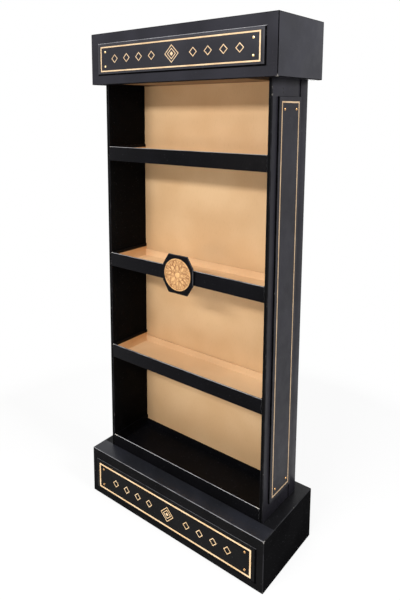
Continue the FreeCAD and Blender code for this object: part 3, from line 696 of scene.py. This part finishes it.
def makeSigns(d):
    for node, name, finishes in d["signs"]:
        low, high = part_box(node)
        right = high.x - d["shadedRim"] * mm
        lower = low.z + d["shadedRim"] * mm
        rim = high.y - d["rimDepth"] * mm

        def pick(middle, normal):
            # the right and lower rims: painted shade
            if middle.x > right or middle.z < lower:
                return "edge"
            if isSlanted(normal):
                return "slope"
            return "film" if normal.y < -faceLimit else "edge"

        # only the upper rim is rubbed lighter: wear, and a painted highlight where the light falls on
        # it
        def isUpperRim(line):
            return bothEnds(line, lambda end: near(end.z, high.z) and near(end.y, rim))
        dressBoard(name, [node], finishes, pick, d["edge"],
                   [(isUpperRim, d["rimRub"], "rubbed")],
                   [((right, 0, 0), (1, 0, 0)), ((0, 0, lower), (0, 0, 1))])


sidePlates = {
    "edge": 0.3,
    "finishes": {"film": bodyFilm, "slope": softFold, "edge": paintedShadeEdge},
}


def makeSidePlates(d):
    def pick(middle, normal):
        if isSlanted(normal):
            return "slope"
        # the side plates' walls: painted shade
        return "film" if abs(normal.x) > faceLimit else "edge"
    for side in ("left", "right"):
        dressBoard("sidePlate_" + side, ["side_plate_" + side], d["finishes"], pick,
                   d["edge"])


medallionBoard = {
    "edge": 0.6, "litRub": 1.2,
    # the lit sides are lighter: painted highlight
    "litFrom": 30.0,  # sides whose X and Z past the middle add up to more are rubbed
    "finishes": {"film": trayFilm, "rubbed": octagonHighlightFold},
}


def makeMedallionBoard(d):
    low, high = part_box("medallion_plate")
    litFrom = (low.z + high.z) / 2 + d["litFrom"] * mm

    def isLitSide(line):
        centre = (line.verts[0].co + line.verts[1].co) / 2
        return bothEnds(line, lambda end: near(end.y, low.y)) and centre.x + centre.z > litFrom
    dressBoard("medallionBoard", ["medallion_plate", "medallion_spacer"],
               d["finishes"], lambda middle, normal: "film", d["edge"],
               [(isLitSide, d["litRub"], "rubbed")])


makeHeader(headerBoard)
makePlinth(plinthBoard)
makeBody(bodyBoards)
makeTrays(trayBoards)
makeSigns(signBoards)
makeSidePlates(sidePlates)
makeMedallionBoard(medallionBoard)
print("boards dressed")


# the inputs that every tree of a finished piece has, besides its own sizes
pieceInputs = ["Place", "Turn", "Finish"]
# types of the inputs that are no plain numbers
inputKinds = {"Count": "Int", "Place": "Vector", "Turn": "Vector", "Finish": "Material"}


# a node tree with named inputs
def newTree(name, labels):
    tree = bpy.data.node_groups.new(name, "GeometryNodeTree")
    for label in labels:
        kind = inputKinds.get(label, "Float")
        tree.interface.new_socket(name=label, in_out="INPUT", socket_type="NodeSocket" + kind)
    tree.interface.new_socket(name="Geometry", in_out="OUTPUT", socket_type="NodeSocketGeometry")
    return tree, addNode(tree, "NodeGroupInput").outputs


# puts the geometry in its place, realises its instances and gives it its finish
def endPiece(tree, geometry, given):
    placed = addNode(tree, "GeometryNodeTransform", {
        "Geometry": geometry, "Translation": given["Place"], "Rotation": given["Turn"]})
    solid = addNode(tree, "GeometryNodeRealizeInstances", {"Geometry": placed})
    finished = addNode(tree, "GeometryNodeSetMaterial", {
        "Geometry": solid, "Material": given["Finish"]})
    addNode(tree, "NodeGroupOutput", {"Geometry": finished})
    return tree


# runs a tree and keeps its result as a plain mesh
def growMesh(name, tree, values):
    holder = bpy.data.objects.new(name + "Grower", bpy.data.meshes.new(name + "Seed"))
    scene.collection.objects.link(holder)
    grower = holder.modifiers.new(name, "NODES")
    grower.node_group = tree
    for socket in tree.interface.items_tree:
        if socket.item_type == "SOCKET" and socket.in_out == "INPUT" and socket.name in values:
            grower[socket.identifier] = values[socket.name]
    ready = holder.evaluated_get(bpy.context.evaluated_depsgraph_get())
    mesh = bpy.data.meshes.new_from_object(ready)
    mesh.name = name
    holder.modifiers.remove(grower)
    bpy.data.objects.remove(holder)
    return mesh


# middles of the plates, on their faces, and how what lies on them is turned, in degrees
plateSpots = {
    "header": ((0, -135.5, 1691.0), (90, 0, 0)),
    "plinth": ((0, -165.5, 84.5), (90, 0, 0)),
    "right": ((351.0, 6.85, 893.5), (90, 0, 90)),
    "left": ((-351.0, 6.85, 893.5), (90, 0, -90)),
}


def onPlate(spot):
    place, turn = plateSpots[spot]
    return {"Place": Vector(place) * mm, "Turn": [math.radians(angle) for angle in turn]}


brassNails = {
    "radius": 4.5, "dome": 3.0,
    # CAD node, piece, plate, nail to nail across and up, finish
    "plates": [
        ("header_studs", "headerNails", "header", 606.0, 50.0, brass),
        ("base_studs", "plinthNails", "plinth", 647.0, 63.0, dullBrass),
        ("side_studs_right", "sideNails_right", "right", 73.7, 1240.0, dullBrass),
        ("side_studs_left", "sideNails_left", "left", 73.7, 1240.0, dullBrass),
    ],
}


# a unit ball cut flat behind, at that height, and brought to its half sizes
def formedBall(tree, ball, size, cutAt):
    here = addNode(tree, "GeometryNodeInputPosition")
    cut = addNode(tree, "ShaderNodeVectorMath", [here, (-1.0, -1.0, cutAt)], operation="MAXIMUM")
    formed = addNode(tree, "ShaderNodeVectorMath", [cut, size], operation="MULTIPLY")
    moved = addNode(tree, "GeometryNodeSetPosition", {"Geometry": ball, "Position": formed})
    return addNode(tree, "GeometryNodeSetShadeSmooth", {"Geometry": moved})


# one domed nail at each corner of a rectangle
def nailTree():
    tree, given = newTree("cornerNails", ["Width", "Height", "Radius", "Dome", *pieceInputs])
    corners = addNode(tree, "GeometryNodeMeshGrid", {
        "Size X": given["Width"], "Vertices X": 2, "Size Y": given["Height"], "Vertices Y": 2})
    ball = addNode(tree, "GeometryNodeMeshUVSphere", {"Segments": 28, "Rings": 18, "Radius": 1.0})
    size = addNode(tree, "ShaderNodeCombineXYZ", {
        0: given["Radius"], 1: given["Radius"], 2: given["Dome"]})
    smooth = formedBall(tree, ball, size, 0.0)
    nails = addNode(tree, "GeometryNodeInstanceOnPoints", {"Points": corners, "Instance": smooth})
    return endPiece(tree, nails, given)


def makeNails(d):
    tree = nailTree()
    for node, name, spot, width, height, finish in d["plates"]:
        mesh = growMesh(name, tree, {
            "Width": width * mm, "Height": height * mm, "Radius": d["radius"] * mm,
            "Dome": d["dome"] * mm, "Finish": finish, **onPlate(spot)})
        showPiece(name, mesh, [node])


goldLines = {
    "thick": 0.4, "waverSize": 60,
    # CAD node, piece, plate, width and height of the frame, waver, width of the line, finish
    "frames": [
        ("header_gold_frame", "headerLine", "header", 653.0, 87.0, 0.25, 4.5, headerFoil),
        ("base_gold_frame", "plinthLine", "plinth", 694.0, 100.0, 0.25, 5.7, plinthFoil),
        ("side_gold_frame_right", "sideLine_right", "right", 110.7, 1287.0, 0.7, 4.8, sideFoil),
        ("side_gold_frame_left", "sideLine_left", "left", 110.7, 1287.0, 0.7, 4.8, sideFoil),
    ],
}


# fills the space between two loops and gives it a thickness
def raiseLoops(tree, loops, thick):
    filled = addNode(tree, "GeometryNodeFillCurve", {"Curve": loops})
    return addNode(tree, "GeometryNodeExtrudeMesh", {
        "Mesh": filled, "Offset Scale": thick, "Individual": False})


# a flat line round a rectangle, a little unsteady, as foil is on a soft board
def lineTree(waverSize):
    tree, given = newTree("foilLine", ["Width", "Height", "Line", "Thick", "Waver", *pieceInputs])
    both = addNode(tree, "GeometryNodeJoinGeometry")
    for inward in (0.0, -2.0):
        width, height = (addNode(tree, "ShaderNodeMath", [given["Line"], inward, given[word]],
                                 operation="MULTIPLY_ADD") for word in ("Width", "Height"))
        loop = addNode(tree, "GeometryNodeCurvePrimitiveQuadrilateral",
                       {"Width": width, "Height": height}, mode="RECTANGLE")
        mesh = addNode(tree, "GeometryNodeCurveToMesh", {"Curve": loop})
        fine = addNode(tree, "GeometryNodeSubdivideMesh", {"Mesh": mesh, "Level": 6})
        curve = addNode(tree, "GeometryNodeMeshToCurve", {"Mesh": fine})
        setSockets(tree, both, [curve])
    waves = addNode(tree, "ShaderNodeTexNoise", {"Scale": patternOf(waverSize), "Detail": 2.0})
    flat = addNode(tree, "ShaderNodeVectorMath", [waves.outputs["Color"], (2.0, 2.0, 0.0),
                                                  (-1.0, -1.0, 0.0)], operation="MULTIPLY_ADD")
    shift = addNode(tree, "ShaderNodeVectorMath", {0: flat, "Scale": given["Waver"]},
                    operation="SCALE")
    moved = addNode(tree, "GeometryNodeSetPosition", {"Geometry": both, "Offset": shift})
    return endPiece(tree, raiseLoops(tree, moved, given["Thick"]), given)


def makeGoldLines(d):
    tree = lineTree(d["waverSize"])
    for node, name, spot, width, height, waver, line, finish in d["frames"]:
        mesh = growMesh(name, tree, {
            "Width": width * mm, "Height": height * mm, "Line": line * mm,
            "Thick": d["thick"] * mm, "Waver": waver * mm, "Finish": finish, **onPlate(spot)})
        showPiece(name, mesh, [node])


lozenges = {
    "count": 4,  # of small ones on each side of the large one
    "sizes": {"start": 86.0, "pitch": 57.0, "radius": 15.0, "line": 3.4, "thick": 0.4,
              "middle": 29.0, "step": 11.0},
    "middleRings": 3,  # the large one is so many rings, each a step smaller
    "nearlyFull": 0.999,  # the last ring has only a pinhole, so it looks full
    # CAD node, piece, plate, finish
    "rows": [("header_gold_ornament", "headerLozenges", "header", headerFoil),
             ("base_gold_ornament", "plinthLozenges", "plinth", plinthFoil)],
}


# a square on its corner, as a raised ring
def lozengeRing():
    tree, given = newTree("lozengeRing", ["Radius", "Line", "Thick"])
    both = addNode(tree, "GeometryNodeJoinGeometry")
    inner = addNode(tree, "ShaderNodeMath", [given["Radius"], given["Line"]],
                    operation="SUBTRACT")
    for radius in (given["Radius"], inner):
        loop = addNode(tree, "GeometryNodeCurvePrimitiveCircle", {"Resolution": 4, "Radius": radius})
        setSockets(tree, both, [loop])
    addNode(tree, "NodeGroupOutput", {"Geometry": raiseLoops(tree, both, given["Thick"])})
    return tree


# a row of small lozenges each side of a large one, which is rings round a full heart
def lozengeRow(ring, middleRings, nearlyFull):
    tree, given = newTree("lozengeRow", [
        "Count", "Start", "Pitch", "Radius", "Line", "Thick", "Middle", "Step", *pieceInputs])
    everything = addNode(tree, "GeometryNodeJoinGeometry")
    small = addNode(tree, "GeometryNodeGroup", node_tree=ring)
    setSockets(tree, small, {word: given[word] for word in ("Radius", "Line", "Thick")})
    for side in (1.0, -1.0):
        start, step = (addNode(tree, "ShaderNodeVectorMath", {
            0: (side, 0.0, 0.0), "Scale": given[word]}, operation="SCALE")
            for word in ("Start", "Pitch"))
        line = addNode(tree, "GeometryNodeMeshLine", {
            "Count": given["Count"], "Start Location": start, "Offset": step})
        row = addNode(tree, "GeometryNodeInstanceOnPoints", {"Points": line, "Instance": small})
        setSockets(tree, everything, [row])
    size = given["Middle"]
    for index in range(middleRings):
        line = given["Line"]
        if index == middleRings - 1:
            line = addNode(tree, "ShaderNodeMath", [size, nearlyFull], operation="MULTIPLY")
        large = addNode(tree, "GeometryNodeGroup", node_tree=ring)
        setSockets(tree, large, {"Radius": size, "Line": line, "Thick": given["Thick"]})
        setSockets(tree, everything, [large])
        size = addNode(tree, "ShaderNodeMath", [size, given["Step"]], operation="SUBTRACT")
    return endPiece(tree, everything, given)


def makeLozenges(d):
    tree = lozengeRow(lozengeRing(), d["middleRings"], d["nearlyFull"])
    sizes = {word.capitalize(): size * mm for word, size in d["sizes"].items()}
    for node, name, spot, finish in d["rows"]:
        mesh = growMesh(name, tree, {"Count": d["count"], "Finish": finish, **sizes, **onPlate(spot)})
        showPiece(name, mesh, [node])


makeNails(brassNails)
makeGoldLines(goldLines)
makeLozenges(lozenges)
print("nails, gold lines and lozenges grown")


rosette = {
    "centre": (0, -104.5, 954.0), "segments": 96, "ground": 2.0, "relief": 1.4,
    # radius and height round the turned disc: its rim, the ground with a fine raised ring between
    # the beads and the petals, a groove and the domed heart
    "profile": [(0, 0), (56.5, 0), (56.5, 2.9), (56.0, 3.4), (53.6, 3.4), (53.0, 2.0), (42.5, 2.0),
                (42.0, 2.5), (41.2, 2.5), (40.7, 2.0), (13.2, 2.0), (12.6, 1.65), (11.6, 1.65),
                (11.0, 2.2), (9.5, 2.8), (5.5, 3.3), (0, 3.4)],
    # bosses: count, radius of their ring, length, width, turn of the ring, how pointed, share of
    # the relief's height
    "bosses": [
        (28, 47.0, 4.4, 4.4, 0.0, 0.0, 1.0),
        (8, 27.0, 28.0, 11.0, 0.0, 0.55, 1.0),
        (8, 35.0, 14.0, 6.5, 22.5, 0.7, 0.8),
    ],
    "smooth": 40,  # the shading runs on over edges blunter than this
}


# ellipsoid bosses on a ring, flat behind, with pointed ends
def bossTree():
    tree, given = newTree("ringOfBosses", [
        "Count", "Ring", "Length", "Width", "Relief", "Offset Turn", "Point", *pieceInputs])
    ball = addNode(tree, "GeometryNodeMeshUVSphere", {"Segments": 20, "Rings": 14, "Radius": 1.0})
    here = addNode(tree, "GeometryNodeInputPosition")
    spot = addNode(tree, "ShaderNodeSeparateXYZ", [here]).outputs
    outward = addNode(tree, "ShaderNodeMath", [spot["X"], spot["X"]], operation="MULTIPLY")
    pinch = addNode(tree, "ShaderNodeMath", [outward, given["Point"]], operation="MULTIPLY")
    pointed = addNode(tree, "ShaderNodeMath", [1.0, pinch], operation="SUBTRACT")
    halves = [addNode(tree, "ShaderNodeMath", [given[word], 0.5], operation="MULTIPLY")
              for word in ("Length", "Width")]
    narrowed = addNode(tree, "ShaderNodeMath", [halves[1], pointed], operation="MULTIPLY")
    size = addNode(tree, "ShaderNodeCombineXYZ", [halves[0], narrowed, given["Relief"]])
    smooth = formedBall(tree, ball, size, -0.1)
    ring = addNode(tree, "GeometryNodeMeshCircle", {
        "Vertices": given["Count"], "Radius": given["Ring"]})
    away = addNode(tree, "GeometryNodeInputPosition")
    angle = addNode(tree, "FunctionNodeAlignRotationToVector", {"Vector": away}, axis="X")
    bosses = addNode(tree, "GeometryNodeInstanceOnPoints", {"Points": ring, "Instance": smooth,
                                                           "Rotation": angle})
    spin = addNode(tree, "ShaderNodeCombineXYZ", {2: given["Offset Turn"]})
    turned = addNode(tree, "GeometryNodeTransform", {"Geometry": bosses, "Rotation": spin})
    return endPiece(tree, turned, given)


# the disc itself is turned round its axis from a profile: radius, height
def turnedDisc(name, profile, segments, smooth):
    shape = bmesh.new()
    rows = []
    for index in range(segments):
        angle = 2 * math.pi * index / segments
        across, along = math.cos(angle) * mm, math.sin(angle) * mm
        rows.append([shape.verts.new((radius * across, radius * along, height * mm))
                     for radius, height in profile])
    for index in range(segments):
        here, there = rows[index], rows[(index + 1) % segments]
        for step in range(len(profile) - 1):
            shape.faces.new((here[step], there[step], there[step + 1], here[step + 1]))
    bmesh.ops.remove_doubles(shape, verts=shape.verts, dist=0.001 * mm)
    bmesh.ops.recalc_face_normals(shape, faces=shape.faces)
    shadeRound(shape, smooth)
    return keepMesh(name, shape)


def makeRosette(d):
    stand = Matrix.Translation(Vector(d["centre"]) * mm) @ Matrix.Rotation(math.radians(90), 4, "X")
    disc = turnedDisc("rosetteDisc", d["profile"], d["segments"], d["smooth"])
    disc.transform(stand)
    disc.materials.append(goldBoard)
    tree = bossTree()
    shape = bmesh.new()
    shape.from_mesh(disc)
    for index, (count, away, length, width, spin, point, rise) in enumerate(d["bosses"]):
        grown = growMesh("bosses%d" % index, tree, {
            "Count": count, "Ring": away * mm, "Length": length * mm, "Width": width * mm,
            "Relief": d["relief"] * rise * mm, "Offset Turn": math.radians(spin), "Point": point,
            "Place": Vector((0, 0, d["ground"])) * mm, "Turn": (0, 0, 0), "Finish": goldBoard})
        grown.transform(stand)
        shape.from_mesh(grown)
    shape.to_mesh(disc)
    shape.free()
    showPiece("rosetteDisc", disc, ["medallion_disc"])


makeRosette(rosette)
print("rosette made")


shot = {
    "place": (1.1661, -1.548, 1.5104), "azimuth": 40.38, "elevation": 8.34, "roll": -0.24,
    "focal": 559.2, "aim": (163.6, 192.7), "frame": (400, 600),  # in pixels of the photo
    "sensor": 36.0,
}


def setCamera(d):
    azimuth, elevation, roll = (math.radians(d[word]) for word in ("azimuth", "elevation", "roll"))
    ahead = Vector((-math.sin(azimuth) * math.cos(elevation), math.cos(azimuth) * math.cos(elevation),
                    -math.sin(elevation)))
    right = ahead.cross(Vector((0, 0, 1))).normalized()
    above = right.cross(ahead)
    tilted = right * math.cos(roll) + above * math.sin(roll)
    upright = above * math.cos(roll) - right * math.sin(roll)
    lens = bpy.data.cameras.new("photoCamera")
    camera = bpy.data.objects.new("photoCamera", lens)
    scene.collection.objects.link(camera)
    turn = Matrix((tilted, upright, -ahead)).transposed()
    camera.matrix_world = Matrix.Translation(Vector(d["place"])) @ turn.to_4x4()
    wide, tall = d["frame"]
    lens.sensor_width = d["sensor"]
    lens.lens = d["focal"] / tall * d["sensor"]
    lens.shift_x = (wide / 2 - d["aim"][0]) / tall
    lens.shift_y = (d["aim"][1] - tall / 2) / tall
    scene.camera = camera


# each lamp: place and aim in metres, size across and along, power in watts, ink
lamps = {
    "spotPanel": ((-0.1, -3.2, 2.75), (0, 0, 0.95), (2.4, 0.34), 90, "#ffffff"),
    "ceilingPanel": ((0.2, -1.75, 3.5), (0, -0.1, 0.6), (0.9, 0.6), 26, "#ffffff"),
    "lowFill": ((-0.4, -3.6, 0.9), (0, 0, 0.7), (1.6, 0.8), 25, "#fff0e0"),
    "leftSoftbox": ((-2.9, -2.1, 1.9), (0, 0, 1.1), (1.5, 1.5), 3, "#ffffff"),
    "rightSoftbox": ((3.0, -0.1, 3.0), (0.35, 0, 1.6), (1.0, 1.0), 98, "#ffffff"),
    "rearSoftbox": ((-1.0, 3.4, 0.8), (0, 0, 0.9), (1.6, 1.0), 26, "#ffffff"),
}


def setLamps(d):
    for name, (place, aim, size, power, ink) in d.items():
        light = bpy.data.lights.new(name, "AREA")
        light.shape = "RECTANGLE"
        light.size, light.size_y = size
        light.energy = power
        light.color = inkColour(ink)[:3]
        item = bpy.data.objects.new(name, light)
        scene.collection.objects.link(item)
        item.location = place
        item.rotation_euler = (Vector(aim) - Vector(place)).to_track_quat("-Z", "Y").to_euler()


studio = {
    "floorInk": "#f7f7f7", "fillInk": "#ffffff",
    "fill": 0.34,  # strength of the world's light on the stand
    "floorGlow": 0.86,  # share of plain white in the floor as it is seen, near the stand
    "whiteFrom": 0.45,  # metres from the middle at which it starts to go all white,
    "whiteAt": 1.5,  # and at which it is
    "floorSize": 14.0,
}


# 1 where the camera sees something, also mirrored; 0 for light that falls on things
def seenShare(tree):
    path = addNode(tree, "ShaderNodeLightPath").outputs
    return addNode(tree, "ShaderNodeMath", [path["Is Camera Ray"], path["Is Glossy Ray"]],
                   operation="MAXIMUM")


# white to the camera and in reflections, and a plain soft fill for everything else
def setWorld(d):
    world = bpy.data.worlds.new("studio")
    scene.world = world
    world.use_nodes = True
    tree = world.node_tree
    tree.nodes.clear()
    strength = addNode(tree, "ShaderNodeMath", [seenShare(tree), 1.0 - d["fill"], d["fill"]],
                       operation="MULTIPLY_ADD")
    back = addNode(tree, "ShaderNodeBackground", {
        "Color": inkColour(d["fillInk"]), "Strength": strength})
    addNode(tree, "ShaderNodeOutputWorld", {"Surface": back})


# a matt pale floor that keeps the stand's shadow and turns into plain white further out
def makeFloor(d):
    material, tree, shader, place = newFinish("studioFloor", {
        "Roughness": 0.9, "Specular IOR Level": 0.0, "Base Color": inkColour(d["floorInk"])})
    white = addNode(tree, "ShaderNodeEmission", {"Color": inkColour("#ffffff"), "Strength": 1.0})
    away = addNode(tree, "ShaderNodeVectorMath", [place], operation="LENGTH").outputs["Value"]
    far = addNode(tree, "ShaderNodeMapRange", {
        "Value": away, "From Min": d["whiteFrom"], "From Max": d["whiteAt"]},
        interpolation_type="SMOOTHSTEP")
    glow = addNode(tree, "ShaderNodeMath", [far, d["floorGlow"]], operation="MAXIMUM")
    amount = addNode(tree, "ShaderNodeMath", [seenShare(tree), glow], operation="MULTIPLY")
    mixed = addNode(tree, "ShaderNodeMixShader", [amount, shader, white])
    output = next(node for node in tree.nodes if node.type == "OUTPUT_MATERIAL")
    setSockets(tree, output, {"Surface": mixed})
    half = d["floorSize"] / 2
    corners = [(-half, -half, 0), (half, -half, 0), (half, half, 0), (-half, half, 0)]
    mesh = bpy.data.meshes.new("studioFloor")
    mesh.from_pydata(corners, [], [(0, 1, 2, 3)])
    mesh.materials.append(material)
    floor = bpy.data.objects.new("studioFloor", mesh)
    scene.collection.objects.link(floor)


setCamera(shot)
setLamps(lamps)
setWorld(studio)
makeFloor(studio)
scene.view_settings.view_transform = "Standard"
print("camera, lamps and floor set")
